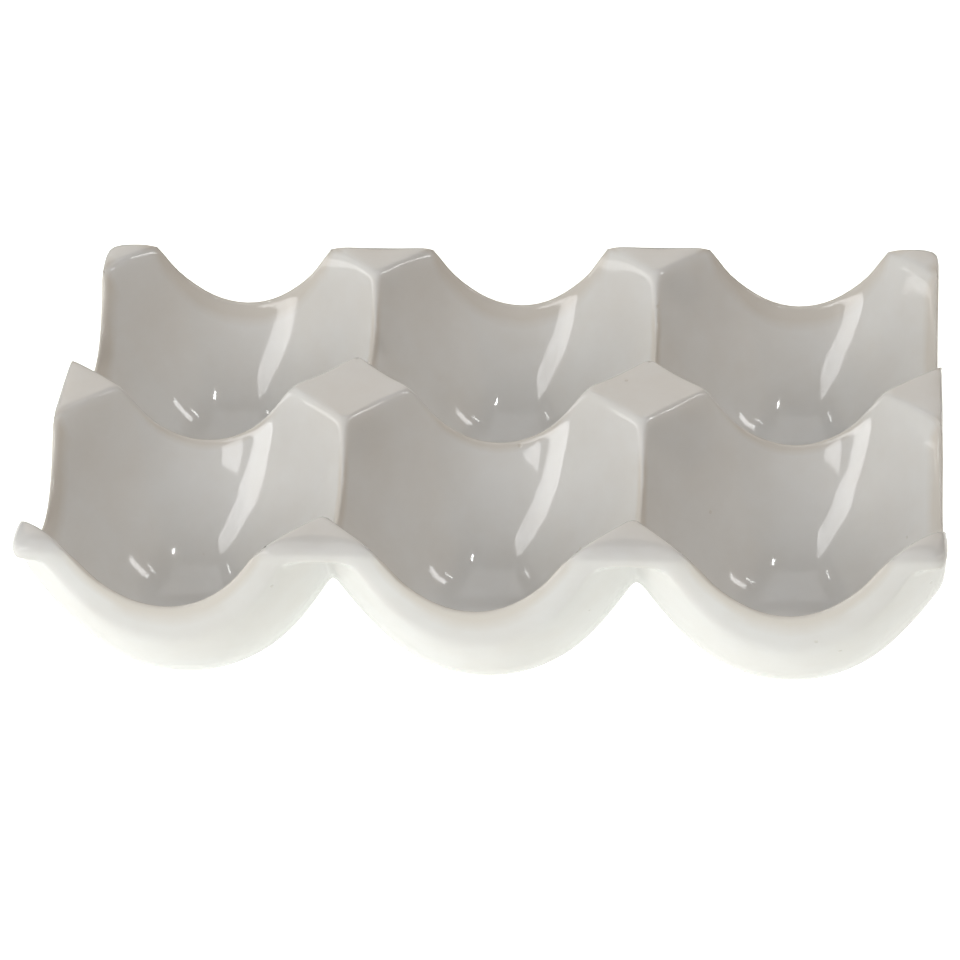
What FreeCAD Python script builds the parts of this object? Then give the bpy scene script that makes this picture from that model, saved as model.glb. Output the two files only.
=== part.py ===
import FreeCAD, Part
import math
import os

import Sketcher

# A six-cup egg tray: one slip-cast ceramic body, and the coat of glaze that is
# fired on to it everywhere except under the feet.
#
# Row frame: +X along the three cups, +Y away from the front, +Z up.  The origin
# is under the middle of the tray, at the level that the feet stand on.

SHEET = "Dimensions"

# Driving dimensions in millimetres, and degrees for the draft.
DIMENSIONS = {
    "pitch": 53.0,           # between the centres of neighbouring cups
    "columns": 3,
    "rows": 2,
    "cup_depth": 34.1,       # post tops down to a cup's floor
    "wall": 3.3,             # thickness of the cast body
    "side_arc": 103.35,      # radius of the long arc down a cup's side
    "side_arc_back": 66.0,   # that arc's centre, beyond the cup's axis
    "side_arc_rise": 34.65,  # that arc's centre, above the post tops
    "floor_round": 4.85,     # rounding between a cup's side and its floor
    "flank_reach": 30.15,    # cup's axis to a post's flat flank, at the post tops
    "flank_draft": 19.3,     # lean of the flank from upright, in degrees
    "trim": 0.65,            # outer sides, inside the centre lines of the edge posts
    "crest_round": 1.0,      # rounding of the crests and of the posts' top edges
    "corner_round": 3.0,     # rounding of the tray's four upright corners
    "glaze": 0.35,           # thickness of the coat
    "dry_foot": 1.0,         # height at which the coat stops above the bench
    "overrun": 4.0,          # how far a cutting tool passes the face it cuts
}

BODY_GROW = "0"
COAT_GROW = "{0}.glaze".format(SHEET)
TOP = "({0}.cup_depth + {0}.wall)".format(SHEET)


def make_sheet(doc):
    """Put the driving dimensions in a spreadsheet, one alias a row."""
    sheet = doc.addObject("Spreadsheet::Sheet", SHEET)
    for line, (alias, value) in enumerate(DIMENSIONS.items(), start=1):
        sheet.set("A{}".format(line), alias)
        sheet.set("B{}".format(line), str(value))
        sheet.setAlias("B{}".format(line), alias)
    doc.recompute()
    return sheet


def cell_centres():
    """Yield each cup's column and row, counted from the middle of the tray."""
    for column in range(DIMENSIONS["columns"]):
        for row in range(DIMENSIONS["rows"]):
            yield (column - (DIMENSIONS["columns"] - 1) / 2,
                   row - (DIMENSIONS["rows"] - 1) / 2)


def bind(item, **expressions):
    """Bind properties of one object to expressions; a double underscore is a dot."""
    for name, expression in expressions.items():
        item.setExpression(name.replace("__", "."), expression)


def make_bowl_sketch(doc, name, grow, mouth):
    """Half section of a bowl: floor, rounded corner, long side arc and mouth.

    The wall is moved outwards by grow from the inside of a cup, so one outline
    serves for the hollow of the cup and for the skin around it.
    """
    size = DIMENSIONS
    shift = {"0": 0.0,
             COAT_GROW: size["glaze"],
             "-" + COAT_GROW: -size["glaze"],
             SHEET + ".wall": size["wall"],
             SHEET + ".wall + " + COAT_GROW: size["wall"] + size["glaze"]}[grow]
    top = size["cup_depth"] + size["wall"]
    mouth_level = top + size["overrun"]
    floor = size["wall"] - shift
    corner = size["floor_round"] + shift
    side = size["side_arc"] + shift
    back = size["side_arc_back"]
    arc_level = top + size["side_arc_rise"]

    # First positions for the solver: the corner's centre lies where both the
    # floor and the long arc are one corner radius away.
    drop = arc_level - (floor + corner)
    corner_x = math.sqrt((side - corner) ** 2 - drop ** 2) - back
    low_angle = -math.asin(drop / (side - corner))
    mouth_angle = math.asin((mouth_level - arc_level) / side)
    mouth_x = side * math.cos(mouth_angle) - back

    sketch = doc.addObject("Sketcher::SketchObject", name)
    # The plane is turned to 45 degrees, so that a bowl's seam runs up a flank.
    sketch.Placement = FreeCAD.Placement(
        FreeCAD.Vector(0, 0, 0),
        FreeCAD.Rotation(FreeCAD.Vector(0, 0, 1), 45)
        * FreeCAD.Rotation(FreeCAD.Vector(1, 0, 0), 90))
    point = FreeCAD.Vector
    normal = FreeCAD.Vector(0, 0, 1)
    floor_line = sketch.addGeometry(
        Part.LineSegment(point(0, floor, 0), point(corner_x, floor, 0)))
    corner_arc = sketch.addGeometry(Part.ArcOfCircle(
        Part.Circle(point(corner_x, floor + corner, 0), normal, corner),
        -math.pi / 2, low_angle))
    side_arc = sketch.addGeometry(Part.ArcOfCircle(
        Part.Circle(point(-back, arc_level, 0), normal, side),
        low_angle, mouth_angle))
    mouth_line = sketch.addGeometry(
        Part.LineSegment(point(mouth_x, mouth_level, 0), point(0, mouth_level, 0)))
    axis_line = sketch.addGeometry(
        Part.LineSegment(point(0, mouth_level, 0), point(0, floor, 0)))

    start, end, centre = 1, 2, 3
    origin = (-1, 1)
    rule = Sketcher.Constraint
    sketch.addConstraint([
        rule("Tangent", floor_line, end, corner_arc, start),
        rule("Tangent", corner_arc, end, side_arc, start),
        rule("Coincident", side_arc, end, mouth_line, start),
        rule("Coincident", mouth_line, end, axis_line, start),
        rule("Coincident", axis_line, end, floor_line, start),
        rule("Horizontal", floor_line),
        rule("Horizontal", mouth_line),
        rule("PointOnObject", floor_line, start, -2),
        rule("PointOnObject", mouth_line, end, -2),
    ])
    measures = {
        rule("DistanceY", *origin, floor_line, start, floor):
            "{0}.wall - ({1})".format(SHEET, grow),
        rule("DistanceY", *origin, mouth_line, start, mouth_level):
            mouth,
        rule("Radius", corner_arc, corner):
            "{0}.floor_round + ({1})".format(SHEET, grow),
        rule("Radius", side_arc, side):
            "{0}.side_arc + ({1})".format(SHEET, grow),
        rule("DistanceX", side_arc, centre, *origin, back):
            "{0}.side_arc_back".format(SHEET),
        rule("DistanceY", *origin, side_arc, centre, arc_level):
            "{0} + {1}.side_arc_rise".format(TOP, SHEET),
    }
    for measure, expression in measures.items():
        index = sketch.addConstraint(measure)
        sketch.setExpression("Constraints[{}]".format(index), expression)
    doc.recompute()
    return sketch


def place_in_cell(item, column, row):
    """Stand an object on the axis of one cup."""
    bind(item,
         Placement__Base__x="{0} * {1}.pitch".format(column, SHEET),
         Placement__Base__y="{0} * {1}.pitch".format(row, SHEET))


def make_bowls(doc, name, grow):
    """The six round bowls, overlapping where the cups run into each other."""
    mouth = "{0} + {1}.overrun".format(TOP, SHEET)
    sketch = make_bowl_sketch(doc, name + "_outline", grow, mouth)
    bowls = []
    for column, row in cell_centres():
        bowl = doc.addObject("Part::Revolution", name)
        bowl.Source = sketch
        bowl.Axis = FreeCAD.Vector(0, 0, 1)
        bowl.Angle = 360
        bowl.Solid = True
        place_in_cell(bowl, column, row)
        bowls.append(bowl)
    union = doc.addObject("Part::MultiFuse", name + "_union")
    union.Shapes = bowls
    return union


def make_flanks(doc, name, grow):
    """Four-sided hoppers, set corner on, whose sides are the posts' flat flanks."""
    hoppers = []
    turn = (FreeCAD.Rotation(FreeCAD.Vector(0, 0, 1), 45)
            * FreeCAD.Rotation(FreeCAD.Vector(1, 0, 0), 90))
    reach = "({0}.flank_reach + ({1}) / cos({0}.flank_draft * 1deg))".format(SHEET, grow)
    slope = "tan({0}.flank_draft * 1deg)".format(SHEET)
    low_half = "{0} - ({1} + {2}.overrun) * {3}".format(reach, TOP, SHEET, slope)
    high_half = "{0} + {1}.overrun * {2}".format(reach, SHEET, slope)
    for column, row in cell_centres():
        hopper = doc.addObject("Part::Wedge", name)
        hopper.Placement = FreeCAD.Placement(FreeCAD.Vector(0, 0, 0), turn)
        bind(hopper,
             Ymin="-{0}.overrun".format(SHEET),
             Ymax="{0} + {1}.overrun".format(TOP, SHEET),
             Xmin="-({})".format(low_half), Xmax=low_half,
             Zmin="-({})".format(low_half), Zmax=low_half,
             X2min="-({})".format(high_half), X2max=high_half,
             Z2min="-({})".format(high_half), Z2max=high_half)
        place_in_cell(hopper, column, row)
        hoppers.append(hopper)
    union = doc.addObject("Part::MultiFuse", name + "_union")
    union.Shapes = hoppers
    return union


def make_cups(doc, name, grow):
    """Cup shapes: round bowls flattened where a post's flank faces the cup."""
    bowls = make_bowls(doc, name + "_bowl", grow)
    flanks = make_flanks(doc, name + "_flank", grow)
    cups = doc.addObject("Part::MultiCommon", name)
    cups.Shapes = [bowls, flanks]
    return cups


def make_block(doc, name, grow, low, high):
    """A block over the tray's whole plan, between two levels."""
    block = doc.addObject("Part::Box", name)
    half_length = "({0}.columns * {0}.pitch / 2 - {0}.trim + ({1}))".format(SHEET, grow)
    half_width = "({0}.rows * {0}.pitch / 2 - {0}.trim + ({1}))".format(SHEET, grow)
    bind(block,
         Length="2 * " + half_length,
         Width="2 * " + half_width,
         Height="({}) - ({})".format(high, low),
         Placement__Base__x="-" + half_length,
         Placement__Base__y="-" + half_width,
         Placement__Base__z=low)
    return block


def edge_points(edge):
    """Five points spread along an edge."""
    step = (edge.LastParameter - edge.FirstParameter) / 4
    return [edge.valueAt(edge.FirstParameter + step * k) for k in range(5)]


def spread(values):
    return max(values) - min(values)


def round_edges(doc, name, base, wanted, radius):
    """Round the edges of base for which wanted(shape, edge) is true."""
    doc.recompute()
    result = doc.addObject("Part::Fillet", name)
    result.Base = base
    result.Edges = [(number, radius, radius)
                    for number, edge in enumerate(base.Shape.Edges, start=1)
                    if wanted(base.Shape, edge)]
    doc.recompute()
    return result


def is_upright(shape, edge):
    points = edge_points(edge)
    return spread([p.x for p in points]) + spread([p.y for p in points]) < 0.01


def crest_test(grow):
    """Make a test for the edges that an egg or a hand meets from above.

    These are the crests between two cups and the top edges of the posts, but
    not the edges that lie in the tray's outer sides.
    """
    top = DIMENSIONS["cup_depth"] + DIMENSIONS["wall"] + grow
    edge_in = grow - DIMENSIONS["trim"]
    half_length = DIMENSIONS["columns"] * DIMENSIONS["pitch"] / 2 + edge_in
    half_width = DIMENSIONS["rows"] * DIMENSIONS["pitch"] / 2 + edge_in
    corner = DIMENSIONS["corner_round"] + grow
    near = 0.02
    below = FreeCAD.Vector(0, 0, -0.2)

    def on_outer_side(points):
        return (all(abs(abs(p.x) - half_length) < near for p in points)
                or all(abs(abs(p.y) - half_width) < near for p in points)
                or all(abs(p.x) > half_length - corner - near
                       and abs(p.y) > half_width - corner - near for p in points))

    def is_crest(shape, edge):
        points = edge_points(edge)
        if on_outer_side(points):
            return False
        if min(p.z for p in points) > top - near:
            return True
        between_cups = min(spread([p.x for p in points]),
                           spread([p.y for p in points])) < near
        return between_cups and shape.isInside(points[2] + below, 0.001, True)

    return is_crest


def make_tray(doc, name, grow, grow_value):
    """The whole tray shape, with every face moved outwards by grow."""
    hollows = make_cups(doc, name + "_hollow", "-" + grow if grow_value else "0")
    skin_grow = SHEET + ".wall" + (" + " + grow if grow_value else "")
    skins = make_cups(doc, name + "_skin", skin_grow)
    top = "{0} + ({1})".format(TOP, grow)
    plate = make_block(doc, name + "_plate", grow,
                       "{0} - {1}.wall - ({2})".format(TOP, SHEET, grow), top)
    plan = make_block(doc, name + "_plan", grow, "-{0}.overrun".format(SHEET), top)
    plan_round = round_edges(doc, name + "_plan_round", plan, is_upright,
                             DIMENSIONS["corner_round"] + grow_value)

    full = doc.addObject("Part::MultiFuse", name + "_full")
    full.Shapes = [skins, plate]
    blank = doc.addObject("Part::MultiCommon", name + "_blank")
    blank.Shapes = [full, plan_round]
    sharp = doc.addObject("Part::Cut", name + "_sharp")
    sharp.Base = blank
    sharp.Tool = hollows
    sharp.Refine = True
    return round_edges(doc, name, sharp, crest_test(grow_value),
                       DIMENSIONS["crest_round"] + grow_value)


def check(item):
    """Stop if an object did not compute, or its solid is not a sound one."""
    if {"Invalid", "Error"} & set(item.State):
        raise RuntimeError("{} did not compute: {}".format(item.Label, item.State))
    if hasattr(item, "Shape") and (item.Shape.isNull() or not item.Shape.isValid()):
        raise RuntimeError("{} has no valid shape".format(item.Label))


doc = FreeCAD.newDocument("egg_tray")
make_sheet(doc)

# The cast body, whose feet are the six flat cup bottoms.
body = make_tray(doc, "ceramic_body", BODY_GROW, 0.0)

# The coat fills the space between the body and the same shape grown by the
# glaze, and it stops short of the bench so that the feet stay bare.
outside = make_tray(doc, "glazed_outside", COAT_GROW, DIMENSIONS["glaze"])
wiped = make_block(doc, "wiped_zone", SHEET + ".overrun",
                   "-{0}.overrun".format(SHEET), SHEET + ".dry_foot")
taken = doc.addObject("Part::Cut", "wiped_outside")
taken.Base = outside
taken.Tool = wiped
coat = doc.addObject("Part::Cut", "glaze_coat")
coat.Base = taken
coat.Tool = body
doc.recompute()

for item in doc.Objects:
    check(item)

nodes = [body, coat]
os.makedirs("parts", exist_ok=True)
for node in nodes:
    node.Shape.exportStep("parts/{}.step".format(node.Label))
    box = node.Shape.optimalBoundingBox(False, False)
    print("{}: {} solid, {:.1f} cm3, {:.2f} x {:.2f} x {:.2f} mm, base at {:.2f}".format(
        node.Label, len(node.Shape.Solids), node.Shape.Volume / 1000,
        box.XLength, box.YLength, box.ZLength, box.ZMin))
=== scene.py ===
# %% [markdown]
# # A glazed egg tray
# The tray is slip-cast ceramic: six deep cups in two rows of three, with hollow flat-topped
# posts between them, a white gloss glaze and six bare feet. It is all one clay wall, so it is
# modelled as one folded sheet and not as six bowls stuck together. The CAD frame gives the
# place and the size, and everything here is fitted to it.

# %% Load the frame
import math
import bpy
import numpy as np
from mathutils import Matrix, Vector


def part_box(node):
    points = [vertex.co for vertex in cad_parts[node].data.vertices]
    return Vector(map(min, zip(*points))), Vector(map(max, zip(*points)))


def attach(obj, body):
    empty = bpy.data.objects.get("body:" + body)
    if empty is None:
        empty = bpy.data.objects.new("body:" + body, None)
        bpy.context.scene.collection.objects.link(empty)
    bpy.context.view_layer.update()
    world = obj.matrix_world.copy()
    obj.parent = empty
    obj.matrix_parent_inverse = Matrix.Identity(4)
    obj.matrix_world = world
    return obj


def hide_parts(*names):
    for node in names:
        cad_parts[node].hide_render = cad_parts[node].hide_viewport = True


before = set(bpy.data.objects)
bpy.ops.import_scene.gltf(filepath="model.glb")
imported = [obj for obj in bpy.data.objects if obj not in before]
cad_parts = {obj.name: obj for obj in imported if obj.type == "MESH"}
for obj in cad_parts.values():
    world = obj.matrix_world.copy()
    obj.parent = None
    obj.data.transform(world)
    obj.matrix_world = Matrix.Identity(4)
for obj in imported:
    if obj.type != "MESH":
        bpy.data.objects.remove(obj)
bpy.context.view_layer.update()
MM = 0.001
coat_low, coat_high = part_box("glaze_coat")
print("glaze coat, mm:", [round(v / MM, 2) for v in (*coat_low, *coat_high)])

# %% [markdown]
# ## The camera
# The camera comes first, because every look at the tray is judged through it. It is a long lens
# from well back, so the far cups are nearly as large as the near ones. The tray is seen from
# about 32 degrees above the bench and a little from the right, with the camera rolled slightly.
# Turning a camera is easiest with its three axes: where it looks, its right and its up.

# %% Set the camera
def place_camera(name, aim, turn, lift, roll, distance, lens):
    ahead = np.array([math.sin(turn) * math.cos(lift), math.cos(turn) * math.cos(lift), -math.sin(lift)])
    right = np.array([math.cos(turn), -math.sin(turn), 0.0])
    up = np.cross(right, ahead)
    right, up = (math.cos(roll) * right + math.sin(roll) * up, math.cos(roll) * up - math.sin(roll) * right)
    eye = np.array(aim) - distance * ahead
    lens_data = bpy.data.cameras.new(name)
    lens_data.lens, lens_data.sensor_width = lens, 36.0
    lens_data.clip_start, lens_data.clip_end = 0.01, 50.0
    camera = bpy.data.objects.new(name, lens_data)
    bpy.context.collection.objects.link(camera)
    camera.rotation_euler = Matrix(np.array([right, up, -ahead]).T.tolist()).to_euler()
    camera.location = eye
    bpy.context.scene.camera = camera
    return camera


camera = place_camera("product camera", aim=(-0.0005, -0.0311, coat_high.z), turn=math.radians(-6.315),
                      lift=math.radians(32.214), roll=math.radians(-2.766), distance=0.6649, lens=144.75)
print("camera at, mm:", [round(v / MM) for v in camera.location])

# %% [markdown]
# ## The shape as a rule
# Each cup is turned on a lathe-like arc: a leaning wall, a flat floor and a rounded corner. Four
# flat flanks cut across its diagonals, and what they leave between four cups is a post. Where two
# cups run into each other they leave a dip.
#
# A shape like this can be carved with booleans, but the soft edges that a glaze makes would then
# be hard to get. Here it is written as a distance rule: a number for any point, negative in the
# clay, zero on its skin and positive outside. Rules join with `soft_max` and `soft_min`, which
# round the edge between two skins to a radius, as slip and glaze do. All sizes are millimetres.

# %% Sizes of the tray
PITCH = 53.0
TOP = coat_high.z / MM
HALF_LENGTH, HALF_WIDTH = coat_high.x / MM, coat_high.y / MM
FLOOR = 3.65
WALL = 4.0
ARC, ARC_BACK, ARC_RISE = 103.0, 66.0, 34.3
FLOOR_ROUND = 4.5
REACH = 29.9
LEAN = math.radians(19.3)
CREST, RIM, FLANK_SOFT, GROOVE, CORNER = 0.95, 0.9, 2.0, 2.0, 1.4
TIP_ROUND, FRONT_RIM, TIP_REACH = 0.6, 2.6, 5.0
SHOULDER, SHOULDER_REACH = 2.2, 6.0
COAT = 0.35
CLAY_DEPTH = COAT + 0.02
DRY_FOOT = 1.0
EDGE_SHARE = 1 - math.sqrt(0.5)
CUPS = [(column * PITCH, row * PITCH) for column in (-1, 0, 1) for row in (-0.5, 0.5)]
print("cups:", len(CUPS), "top at", round(TOP, 2), "mm")


# %% The distance rule
def soft_max(a, b, radius):
    corner = np.hypot(np.maximum(a + radius, 0), np.maximum(b + radius, 0))
    return np.minimum(np.maximum(a, b), -radius) + corner


def soft_min(a, b, radius):
    return -soft_max(-a, -b, radius)


def hollows(x, y, z, swell, soft):
    """How far a point is from the six cups' hollows, swollen by a wall's thickness."""
    nearest = None
    for cx, cy in CUPS:
        across = np.hypot(x - cx, y - cy)
        diagonal = (abs(x - cx) + abs(y - cy)) / math.sqrt(2)
        side = np.hypot(across + ARC_BACK, z - TOP - ARC_RISE) - ARC - swell
        floor = FLOOR - swell - z
        flank = (diagonal - REACH + (TOP - z) * math.tan(LEAN)) * math.cos(LEAN) - swell
        cup = soft_max(soft_max(side, floor, FLOOR_ROUND + swell), flank, FLANK_SOFT)
        nearest = cup if nearest is None else soft_min(nearest, cup, soft)
    return nearest


def tray_rule(points, depth):
    """Distance to the tray's skin, or to the skin that lies `depth` under its glaze."""
    x, y, z = points.T
    sides = soft_max(abs(x) - HALF_LENGTH + depth, abs(y) - HALF_WIDTH + depth, CORNER)
    near_top = np.clip((z - TOP) / TIP_REACH + 1.0, 0, 1)
    inside = hollows(x, y, z, depth, CREST + TIP_ROUND * near_top)
    under = soft_min(hollows(x, y, z, WALL - depth, GROOVE), TOP - WALL + depth - z, GROOVE)
    near_side = np.clip(1 + np.maximum(abs(x) - HALF_LENGTH, abs(y) - HALF_WIDTH) / SHOULDER_REACH, 0, 1)
    upper = soft_max(z - TOP + depth, -inside, CREST - depth + SHOULDER * near_side)
    rim = RIM - depth + FRONT_RIM * near_top * np.clip(-y / HALF_WIDTH, 0, 1)
    return soft_max(soft_max(upper, sides, rim), np.maximum(under, -z - COAT), rim)


def slope(points, depth):
    """The rule's slope at each point, which looks straight away from the clay."""
    nudge = 0.01
    return np.stack([(tray_rule(points + step, depth) - tray_rule(points - step, depth)) / (2 * nudge)
                     for step in np.eye(3) * nudge], axis=1)


probe = np.array([[0.0, PITCH / 2, FLOOR - WALL / 2], [0.0, PITCH / 2, FLOOR + 10.0]])
print("in a floor and in a cup, mm:", tray_rule(probe, 0.0).round(2))

# %% [markdown]
# ## The cage
# The cage is a fan of columns round the middle of each cup. A column runs across the floor, up
# the wall and stops at a crest: either the dip shared with the next cup or the straight edge of
# a post. A second, smaller grid covers the quarter of the post beyond that edge. The inside of
# the tray and the underside are the same net of points at two depths, and a short strip down
# the tray's outer sides joins them.
#
# Edges laid along the real edges are what lets Subdivision Surface finish a coarse cage without
# lumps, which is why the net follows the crests instead of being an even grid.

# %% Plan of one quarter of a cup
RIDGE_STEPS = [0.0, 0.2, 0.4, 0.6, 0.8, 0.93]
POST_STEPS = [0.0, 0.12, 0.3, 0.5, 0.7, 0.88, 1.0]
POST_ROWS = [0.0, 0.12, 0.3, 0.65, 1.0]
FLOOR_ROWS = [0.0, 0.3, 0.6, 0.85]
WALL_ROWS = [0.0, 0.07, 0.17, 0.31, 0.47, 0.64, 0.8]
CREST_ROWS = [2.2, 0.9, 0.0]
STRIP_ROWS = [0.0, 0.15, 0.4, 0.6, 0.85, 1.0]
NO_FOOT = -9.0
MERGE_STEPS = 500


def quarter_plan(reach, half_x, half_y):
    """Where the columns of one quarter end, and where its post's grid ends, in plan."""
    turn_x, turn_y = math.sqrt(2) * reach - half_x, math.sqrt(2) * reach - half_y
    ridge_x = [(half_x, turn_x * t) for t in RIDGE_STEPS]
    ridge_y = [(turn_y * t, half_y) for t in reversed(RIDGE_STEPS)]
    post = [(half_x + (turn_y - half_x) * t, turn_x + (half_y - turn_x) * t) for t in POST_STEPS]
    return ridge_x, post, ridge_y


def post_rim(post, half_x, half_y, x_open, y_open):
    """Where the lines over a quarter of a post end, on the sides of the cup's cell."""
    if x_open == y_open:
        split = [(t - 0.5) * 2 for t in POST_STEPS]
        return [(half_x, half_y + t * (half_y - post[0][1])) if t <= 0 else
                (half_x - t * (half_x - post[-1][0]), half_y) for t in split]
    if y_open:
        return [(half_x + t * (post[-1][0] - half_x), half_y) for t in POST_STEPS]
    return [(half_x, post[0][1] + t * (half_y - post[0][1])) for t in POST_STEPS]


print("columns in a quarter:", 2 * len(RIDGE_STEPS) + len(POST_STEPS))


# %% [markdown]
# A column is worked out in two steps: how high the wall stands at its end, and then how far the
# wall leans out at each height on the way up. Rows lie closer together near the crest, because
# the surface bends most there and Subdivision Surface needs points on both sides of a bend.

# %% Height of the net
def crest_height(end, swell, cap):
    """How high the wall stands where a column ends."""
    reach, diagonal = math.hypot(*end), (end[0] + end[1]) / math.sqrt(2)
    on_arc = TOP + ARC_RISE - math.sqrt((ARC + swell) ** 2 - (reach + ARC_BACK) ** 2)
    on_flank = TOP - (REACH + swell / math.cos(LEAN) - diagonal) / math.tan(LEAN)
    return min(cap, max(on_arc, on_flank))


def column_points(end, swell, cap, foot, worn=0.0):
    """One column, from the middle of the cup out to its crest. On the tray's own rim the thin
    edge is rounded off, so its top lies `worn` inside both skins, lower than a sharp edge would."""
    reach = math.hypot(*end)
    facing = (end[0] + end[1]) / math.sqrt(2) / reach
    flank_top = REACH + swell / math.cos(LEAN)
    crest = crest_height(end, swell + worn, cap)
    low = max(FLOOR - swell, foot)
    span = crest - low
    heights = [low + span * t for t in WALL_ROWS] + [crest - d for d in CREST_ROWS]
    rows = []
    for z in heights:
        arc = math.sqrt((ARC + swell) ** 2 - (z - TOP - ARC_RISE) ** 2) - ARC_BACK
        rows.append((min(arc, (flank_top - (TOP - z) * math.tan(LEAN)) / facing), z))
    if worn:
        rows[-1] = (reach, crest)
    if foot <= FLOOR - swell:
        rows = [(rows[0][0] * t, low) for t in FLOOR_ROWS] + rows
    return [(end[0] / reach * across, end[1] / reach * across, z) for across, z in rows]


def spread(starts, ends, steps):
    """Lines of points from each start to each end."""
    return [[tuple(a + (b - a) * t for a, b in zip(start, end)) for t in steps]
            for start, end in zip(starts, ends)]


print("rows up a column:", len(column_points((PITCH / 2, 0.0), 0.0, TOP, NO_FOOT)))


# %% [markdown]
# Every cup is four mirrored quarters, so only a quarter is laid out. `side_x` and `side_y` say how
# far the quarter reaches and whether it ends in the open, on the tray's own edge. Melted glaze
# can't hold a sharp edge, so the thin rim there is rounded, and its top row is laid where the
# rounded edge will be and not where a sharp one would stand.

# %% The net of one cup's quarter
def quarter_net(side_x, side_y, depth, foot):
    """All the grids of one quarter: cup, post and outer strip, above and below."""
    x_open, y_open = side_x[1], side_y[1]
    grids, rims = [], []
    for swell, cap, low in ((depth, TOP - depth, NO_FOOT), (WALL - depth, TOP - WALL + depth, foot)):
        worn = EDGE_SHARE * (RIM - depth) if cap > TOP - WALL / 2 else 0.0
        half_x, half_y = side_x[0] - worn * x_open, side_y[0] - worn * y_open
        reach = REACH + swell / math.cos(LEAN) - (TOP - cap) * math.tan(LEAN)
        ridge_x, post, ridge_y = quarter_plan(reach, half_x, half_y)
        columns = [column_points(end, swell, cap, low, worn * x_open) for end in ridge_x]
        columns += [column_points(end, swell, cap, low) for end in post]
        columns += [column_points(end, swell, cap, low, worn * y_open) for end in ridge_y]
        crests = [column[-1] for column in columns]
        over = crests[len(ridge_x):len(ridge_x) + len(post)]
        top = cap - worn if x_open or y_open else cap
        ends = [(*end, top) for end in post_rim(post, half_x, half_y, x_open, y_open)]
        grids += [columns, spread(over, ends, POST_ROWS)]
        rim = (crests[:len(ridge_x)] if x_open else []) + (ends if x_open or y_open else [])
        rims.append(rim + (crests[-len(ridge_y):] if y_open else []))
    if rims[0]:
        grids.append(spread(rims[0], rims[1], STRIP_ROWS))
    return grids


sample = quarter_net((PITCH / 2, False), (HALF_WIDTH - PITCH / 2, True), 0.0, DRY_FOOT)
print("grids in a quarter:", len(sample), "points:", sum(len(g) * len(g[0]) for g in sample))


# %% [markdown]
# Quarters that touch share points, so points that fall on the same 1/500 mm are joined. The
# net is only near the skin until each point slides down the rule's slope and lands on it. Faces
# are then turned outwards by the same slope, so no normal has to be guessed.

# %% Join the quarters and settle them on the rule
def tray_cage(name, depth, foot):
    """The whole tray's cage. Below `foot` the skin is left open, as the glaze is at the feet."""
    points, faces = [], []
    for cx, cy in CUPS:
        for sx in (1, -1):
            for sy in (1, -1):
                x_open, y_open = abs(cx + sx * PITCH / 2) > PITCH, abs(cy + sy * PITCH / 2) > PITCH / 2
                side_x = (HALF_LENGTH - depth - PITCH if x_open else PITCH / 2, x_open)
                side_y = (HALF_WIDTH - depth - PITCH / 2 if y_open else PITCH / 2, y_open)
                for grid in quarter_net(side_x, side_y, depth, foot):
                    start, across = len(points), len(grid[0])
                    points += [(cx + sx * x, cy + sy * y, z) for line in grid for x, y, z in line]
                    for i in range(len(grid) - 1):
                        for j in range(across - 1):
                            a = start + i * across + j
                            faces.append((a, a + 1, a + across + 1, a + across))
    points = np.array(points)
    _, first, same = np.unique((points * MERGE_STEPS).round(), axis=0, return_index=True, return_inverse=True)
    points, same = points[first], same.ravel()
    held = np.abs(points[:, 2] - foot) < 1e-6
    points = settle(points, depth, held)
    polygons = []
    for face in faces:
        corners = list(dict.fromkeys(same[list(face)].tolist()))
        if len(corners) > 2:
            polygons.append(corners)
    return cage_mesh(name, points, outward(points, polygons, depth))


def settle(points, depth, held):
    """Slides every point straight onto the skin. Held points keep their height."""
    for _ in range(8):
        away = slope(points, depth)
        away[held, 2] = 0.0
        gap = tray_rule(points, depth) / np.maximum((away ** 2).sum(axis=1), 0.25)
        points = points - away * gap[:, None]
    print("largest gap left, mm:", round(float(np.abs(tray_rule(points, depth)).max()), 4))
    return points


def outward(points, polygons, depth):
    """Turns every face to look away from the clay."""
    middles = np.array([points[corners].mean(axis=0) for corners in polygons])
    away = slope(middles, depth)
    turned = []
    for corners, direction in zip(polygons, away):
        a, b, c = points[corners[0]], points[corners[1]], points[corners[2]]
        d = points[corners[-1]]
        facing = np.cross(c - a, d - b) if len(corners) == 4 else np.cross(b - a, c - a)
        turned.append(corners if facing @ direction > 0 else corners[::-1])
    return turned


def cage_mesh(name, points, polygons):
    mesh = bpy.data.meshes.new(name)
    mesh.from_pydata((points * MM).tolist(), [], polygons)
    mesh.shade_smooth()
    piece = bpy.data.objects.new(name, mesh)
    bpy.context.collection.objects.link(piece)
    print(name, "cage:", len(points), "points,", len(polygons), "faces")
    return piece


glaze = tray_cage("white_glaze", 0.0, DRY_FOOT)
clay = tray_cage("fired_clay_body", CLAY_DEPTH, NO_FOOT)

# %% [markdown]
# ## Thin glaze on the edges
# Melted glaze draws back from sharp edges and gathers in hollows, so on the crests the warm clay
# shows through a little. Step a little way into the clay from each point: under a flat skin the
# rule falls by just that depth, and under an edge by less, because another skin is near. What is
# missing is stored on the points as `thin_glaze`, and the glaze's colour reads it.

# %% Mark the edges
def mark_thin_glaze(piece, depth):
    points = np.array([vertex.co[:] for vertex in piece.data.vertices]) / MM
    away = slope(points, depth)
    away /= np.maximum(np.linalg.norm(away, axis=1, keepdims=True), 0.5)
    step = 1.1
    missing = tray_rule(points - away * step, depth) + step
    thin = np.clip(missing / (0.4 * step), 0.0, 1.0)
    piece.data.attributes.new("thin_glaze", "FLOAT", "POINT").data.foreach_set("value", thin)
    print(piece.name, "points on edges:", int((thin > 0.5).sum()))


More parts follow.
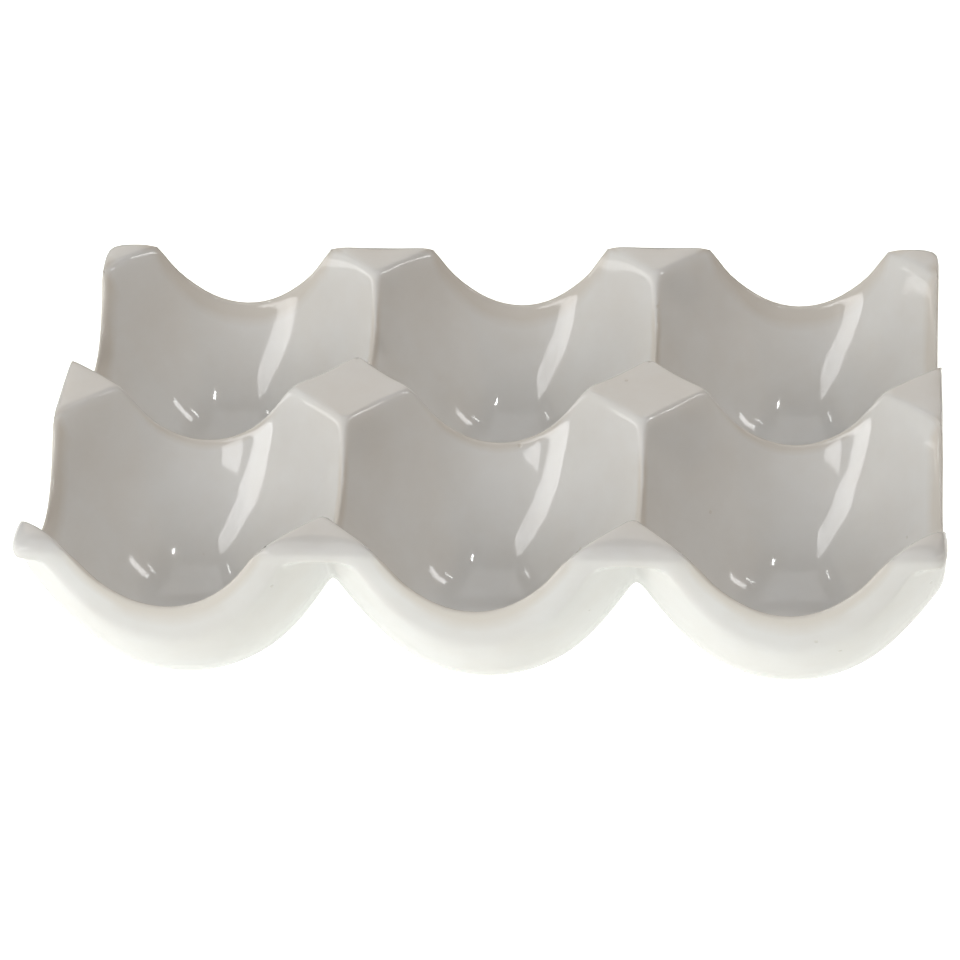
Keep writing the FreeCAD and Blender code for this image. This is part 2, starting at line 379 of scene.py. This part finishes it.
mark_thin_glaze(glaze, 0.0)
mark_thin_glaze(clay, CLAY_DEPTH)

# %% [markdown]
# ## Finish the cages
# Clay moves in the kiln. A Displace with a large soft noise shifts the upper parts by a few
# tenths of a millimetre, so no two posts are quite alike, and a vertex group keeps the feet
# where they are, because the tray must stand flat. Subdivision Surface then smooths the cage.
# Solidify gives the glaze its own thickness, inwards from the skin that was laid, so it is a
# real coat with a lower lip above each bare foot.

# %% Modifier stacks
kiln_warp = bpy.data.textures.new("kiln warp", "CLOUDS")
kiln_warp.noise_scale = 0.04
kiln_warp.cloud_type = "COLOR"


def finish_cage(piece, coat):
    slack = piece.vertex_groups.new(name="free to move")
    for vertex in piece.data.vertices:
        height = vertex.co.z / coat_high.z
        slack.add([vertex.index], min(max(height * 1.3 - 0.1, 0.0), 1.0), "REPLACE")
    warp = piece.modifiers.new("kiln warp", "DISPLACE")
    warp.texture, warp.texture_coords, warp.direction = kiln_warp, "LOCAL", "RGB_TO_XYZ"
    warp.vertex_group, warp.mid_level, warp.strength = slack.name, 0.5, 0.9 * MM
    smooth = piece.modifiers.new("smooth skin", "SUBSURF")
    smooth.levels = smooth.render_levels = 1
    if coat:
        skin = piece.modifiers.new("glaze thickness", "SOLIDIFY")
        skin.thickness = coat * MM
        skin.offset = -1.0


finish_cage(glaze, COAT)
finish_cage(clay, 0.0)
print("stack:", [step.type for step in glaze.modifiers])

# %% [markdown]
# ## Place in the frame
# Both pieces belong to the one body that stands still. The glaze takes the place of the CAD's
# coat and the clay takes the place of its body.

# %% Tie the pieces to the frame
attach(glaze, "root")
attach(clay, "root")
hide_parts("glaze_coat")
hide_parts("ceramic_body")
print("pieces:", glaze.name, "and", clay.name)

# %% [markdown]
# ## The glaze
# Glaze is glass melted onto the clay: white, very glossy, and never quite even. It is one
# Principled BSDF with a low roughness. Three small effects make it a fired skin and not plastic,
# and each is a node group so that the bare clay can use it with other values: a faint mottle in
# the colour, a slow waviness that bends reflections, and a few pinholes where gas came out.
# Groups only give out masks and heights, and the shader itself stays in each material.

# %% A helper for node groups
def effect_group(name, inputs, outputs):
    group = bpy.data.node_groups.new(name, "ShaderNodeTree")
    for label, value in inputs.items():
        group.interface.new_socket(label, in_out="INPUT", socket_type="NodeSocketFloat").default_value = value
    for label in outputs:
        group.interface.new_socket(label, in_out="OUTPUT", socket_type="NodeSocketFloat")
    entry, leave = group.nodes.new("NodeGroupInput"), group.nodes.new("NodeGroupOutput")
    place = group.nodes.new("ShaderNodeTexCoord").outputs["Object"]
    return group, group.nodes, group.links, entry.outputs, leave.inputs, place


# %% [markdown]
# The mottle is soft noise. The skin is slower noise for the waves, and cells for the pinholes: a
# cell's colour is a random number that stays the same, so keeping only the highest ones leaves
# a few holes, far apart. Both read Object coordinates, so they stay put on the piece.

# %% Mottle, waviness and pinholes
def mottle_group():
    group, nodes, links, given, result, place = effect_group("firing mottle", {"Scale": 60.0}, ["Mask"])
    cloud = nodes.new("ShaderNodeTexNoise")
    cloud.inputs["Detail"].default_value = 4.0
    cloud.inputs["Roughness"].default_value = 0.6
    ramp = nodes.new("ShaderNodeMapRange")
    ramp.inputs["From Min"].default_value, ramp.inputs["From Max"].default_value = 0.35, 0.65
    links.new(place, cloud.inputs["Vector"])
    links.new(given["Scale"], cloud.inputs["Scale"])
    links.new(cloud.outputs["Fac"], ramp.inputs["Value"])
    links.new(ramp.outputs["Result"], result["Mask"])
    return group


def skin_group():
    group, nodes, links, given, result, place = effect_group(
        "fired skin", {"Wave Scale": 90.0, "Pit Scale": 260.0, "Pit Depth": 0.5}, ["Height", "Pits"])
    wave = nodes.new("ShaderNodeTexNoise")
    wave.inputs["Detail"].default_value = 1.0
    cells = nodes.new("ShaderNodeTexVoronoi")
    pit = nodes.new("ShaderNodeMapRange")
    pit.interpolation_type = "SMOOTHSTEP"
    pit.inputs["From Min"].default_value, pit.inputs["From Max"].default_value = 0.05, 0.11
    pit.inputs["To Min"].default_value, pit.inputs["To Max"].default_value = 1.0, 0.0
    few = nodes.new("ShaderNodeMath")
    few.operation, few.inputs[1].default_value = "GREATER_THAN", 0.93
    kept = nodes.new("ShaderNodeMath")
    kept.operation = "MULTIPLY"
    deep = nodes.new("ShaderNodeMath")
    deep.operation = "MULTIPLY"
    height = nodes.new("ShaderNodeMath")
    height.operation = "SUBTRACT"
    for texture, scale in ((wave, "Wave Scale"), (cells, "Pit Scale")):
        links.new(place, texture.inputs["Vector"])
        links.new(given[scale], texture.inputs["Scale"])
    split = nodes.new("ShaderNodeSeparateColor")
    links.new(cells.outputs["Color"], split.inputs["Color"])
    links.new(split.outputs["Red"], few.inputs[0])
    links.new(cells.outputs["Distance"], pit.inputs["Value"])
    links.new(pit.outputs["Result"], kept.inputs[0])
    links.new(few.outputs["Value"], kept.inputs[1])
    links.new(kept.outputs["Value"], deep.inputs[0])
    links.new(given["Pit Depth"], deep.inputs[1])
    links.new(wave.outputs["Fac"], height.inputs[0])
    links.new(deep.outputs["Value"], height.inputs[1])
    links.new(height.outputs["Value"], result["Height"])
    links.new(kept.outputs["Value"], result["Pits"])
    return group


mottle, skin = mottle_group(), skin_group()
print("groups:", mottle.name, "and", skin.name)


# %% [markdown]
# Glaze and clay are fired together, so they share one recipe. The mottle and the worn edges mix
# the thick colour with the thin one, and the glaze is a little rougher where it is mottled. Bare
# clay is the same recipe with a warmer colour, fine grain and hardly any shine.

# %% A fired material
def fired_material(name, thick, thin, rough, bump, mottle_scale, skin_values):
    """Colour from `thick` to `thin` by the mottle and the worn edges, bumps from the skin."""
    material = bpy.data.materials.new(name)
    material.use_nodes = True
    nodes, links = material.node_tree.nodes, material.node_tree.links
    shader = nodes["Principled BSDF"]
    clouds, surface = nodes.new("ShaderNodeGroup"), nodes.new("ShaderNodeGroup")
    clouds.node_tree, surface.node_tree = mottle, skin
    clouds.inputs["Scale"].default_value = mottle_scale
    for label, value in skin_values.items():
        surface.inputs[label].default_value = value
    edges = nodes.new("ShaderNodeAttribute")
    edges.attribute_name = "thin_glaze"
    share = nodes.new("ShaderNodeMath")
    share.operation, share.inputs[1].default_value, share.use_clamp = "MULTIPLY_ADD", 0.35, True
    tint = nodes.new("ShaderNodeMix")
    tint.data_type = "RGBA"
    tint.inputs["A"].default_value, tint.inputs["B"].default_value = (*thick, 1.0), (*thin, 1.0)
    dark = nodes.new("ShaderNodeMix")
    dark.data_type, dark.blend_type = "RGBA", "MULTIPLY"
    dark.inputs["B"].default_value = (0.93, 0.91, 0.88, 1.0)
    gloss = nodes.new("ShaderNodeMapRange")
    gloss.inputs["To Min"].default_value, gloss.inputs["To Max"].default_value = rough
    relief = nodes.new("ShaderNodeBump")
    relief.inputs["Distance"].default_value = bump * MM
    links.new(clouds.outputs["Mask"], share.inputs[0])
    links.new(edges.outputs["Fac"], share.inputs[2])
    links.new(share.outputs["Value"], tint.inputs["Factor"])
    links.new(tint.outputs["Result"], dark.inputs["A"])
    links.new(surface.outputs["Pits"], dark.inputs["Factor"])
    links.new(dark.outputs["Result"], shader.inputs["Base Color"])
    links.new(clouds.outputs["Mask"], gloss.inputs["Value"])
    links.new(gloss.outputs["Result"], shader.inputs["Roughness"])
    links.new(surface.outputs["Height"], relief.inputs["Height"])
    links.new(relief.outputs["Normal"], shader.inputs["Normal"])
    return material


glaze.data.materials.append(fired_material(
    "gloss white glaze", thick=(0.83, 0.825, 0.81), thin=(0.745, 0.705, 0.65), rough=(0.05, 0.09), bump=0.12,
    mottle_scale=70.0, skin_values={"Wave Scale": 95.0, "Pit Scale": 260.0, "Pit Depth": 0.5}))
clay.data.materials.append(fired_material(
    "bare fired clay", thick=(0.78, 0.74, 0.68), thin=(0.68, 0.62, 0.54), rough=(0.75, 0.9), bump=0.25,
    mottle_scale=300.0, skin_values={"Wave Scale": 1500.0, "Pit Scale": 900.0, "Pit Depth": 0.9}))

# %% [markdown]
# ## Floor and light
# The tray stands on a white bench that glows a little, so light comes up from below as well as
# down. That is why the outer skins are nearly white while the cups are grey: each cup sees only
# the dimmer room above it. A large soft box on the left front makes the long reflection on the
# far wall of every cup, low panels at the sides light the flanks, and small lamps give sparkles.
# Seen from below, the bench is clear, so that the feet can be looked at.

# %% The pale floor
bpy.ops.mesh.primitive_plane_add(size=8.0, location=(0, 0, 0))
floor = bpy.context.active_object
floor.name = "pale_floor"
floor_finish = bpy.data.materials.new("glowing pale bench")
floor_finish.use_nodes = True
floor_nodes, floor_links = floor_finish.node_tree.nodes, floor_finish.node_tree.links
floor_shader = floor_nodes["Principled BSDF"]
floor_shader.inputs["Base Color"].default_value = (0.8, 0.8, 0.8, 1.0)
floor_shader.inputs["Roughness"].default_value = 0.9
floor_shader.inputs["Specular IOR Level"].default_value = 0.0
floor_shader.inputs["Emission Color"].default_value = (0.96, 1.0, 0.95, 1.0)
seen = floor_nodes.new("ShaderNodeLightPath")
glow = floor_nodes.new("ShaderNodeMapRange")
glow.inputs["To Min"].default_value, glow.inputs["To Max"].default_value = 0.55, 1.0
floor_links.new(seen.outputs["Is Camera Ray"], glow.inputs["Value"])
floor_links.new(glow.outputs["Result"], floor_shader.inputs["Emission Strength"])
from_below = floor_nodes.new("ShaderNodeNewGeometry").outputs["Backfacing"]
clear = floor_nodes.new("ShaderNodeBsdfTransparent")
either = floor_nodes.new("ShaderNodeMixShader")
floor_links.new(from_below, either.inputs["Fac"])
floor_links.new(floor_shader.outputs["BSDF"], either.inputs[1])
floor_links.new(clear.outputs["BSDF"], either.inputs[2])
floor_links.new(either.outputs["Shader"], floor_nodes["Material Output"].inputs["Surface"])
floor.data.materials.append(floor_finish)
print("floor:", floor.name, "seen through from below")

# %% [markdown]
# Each light is named by what it does on the tray. A light's angle across, seen from the tray,
# says more than its size in metres, so `softbox` is given degrees. Gloss shows every lamp as a
# shape, so `key_fill` lights the walls without being mirrored in them, and the key stays slim.

# %% The lights
def softbox(name, turn, lift, width, height, glow, lean=0.0, color=(1.0, 1.0, 1.0),
            distance=1.3, mirrored=True):
    """A flat soft light that faces the tray from `turn` round from the front and `lift` up, in degrees."""
    a, e = math.radians(turn), math.radians(lift)
    back = Vector((math.sin(a) * math.cos(e), -math.cos(a) * math.cos(e), math.sin(e)))
    data = bpy.data.lights.new(name, "AREA")
    data.shape = "RECTANGLE"
    data.size, data.size_y = (2 * distance * math.tan(math.radians(v) / 2) for v in (width, height))
    data.energy = glow * math.pi * data.size * data.size_y
    data.color = color
    light = bpy.data.objects.new(name, data)
    bpy.context.collection.objects.link(light)
    light.location = back * distance + Vector((0, 0, coat_high.z / 2))
    leaning = Matrix.Rotation(math.radians(lean), 3, "Z")
    light.rotation_euler = (back.to_track_quat("Z", "Y").to_matrix() @ leaning).to_euler()
    light.visible_camera = False
    light.visible_glossy = mirrored
    return light


softbox("key", turn=-48, lift=23, width=10, height=46, glow=6.0, lean=-38)
softbox("key_fill", turn=-48, lift=23, width=30, height=46, glow=1.0, mirrored=False)
softbox("key_wing", turn=-30, lift=20, width=14, height=5, glow=5.0)
softbox("left_wall", turn=-80, lift=22, width=60, height=40, glow=0.56, color=(1.0, 0.97, 0.84))
softbox("left_panel", turn=-98, lift=6, width=26, height=13, glow=2.2)
softbox("right_strip", turn=90, lift=38, width=5, height=16, glow=8.0)
softbox("right_low_strip", turn=108, lift=18, width=2, height=9, glow=6.0)
softbox("sparkle_lamp", turn=33.5, lift=46, width=1.2, height=5, glow=60.0, lean=-50)
softbox("left_arc_lamp", turn=78, lift=46, width=1.5, height=9, glow=12.0)
softbox("right_arc_lamp", turn=-63, lift=50, width=1.5, height=11, glow=12.0, lean=70)
softbox("right_wall", turn=80, lift=25, width=60, height=40, glow=0.36, color=(1.0, 0.78, 0.56))
softbox("back_wall", turn=180, lift=30, width=60, height=40, glow=0.93, color=(1.0, 0.89, 0.76))
softbox("ceiling", turn=0, lift=86, width=50, height=50, glow=0.86)

# %% [markdown]
# A white room would fill the cups with light, so the room is nearly black to everything except
# the camera, which sees plain white behind the tray.

# %% The room
room = bpy.data.worlds.new("studio")
bpy.context.scene.world = room
room.use_nodes = True
room_nodes, room_links = room.node_tree.nodes, room.node_tree.links
room_glow = room_nodes["Background"]
path = room_nodes.new("ShaderNodeLightPath")
shade = room_nodes.new("ShaderNodeMix")
shade.data_type = "RGBA"
shade.inputs["A"].default_value = (0.03, 0.03, 0.03, 1.0)
shade.inputs["B"].default_value = (1.0, 1.0, 1.0, 1.0)
room_links.new(path.outputs["Is Camera Ray"], shade.inputs["Factor"])
room_links.new(shade.outputs["Result"], room_glow.inputs["Color"])
bpy.context.scene.view_settings.view_transform = "Standard"

# %% [markdown]
# ## Last update
# The view layer is brought up to date, so every piece and light stands where it was placed.

# %% Update the view layer
bpy.context.view_layer.update()
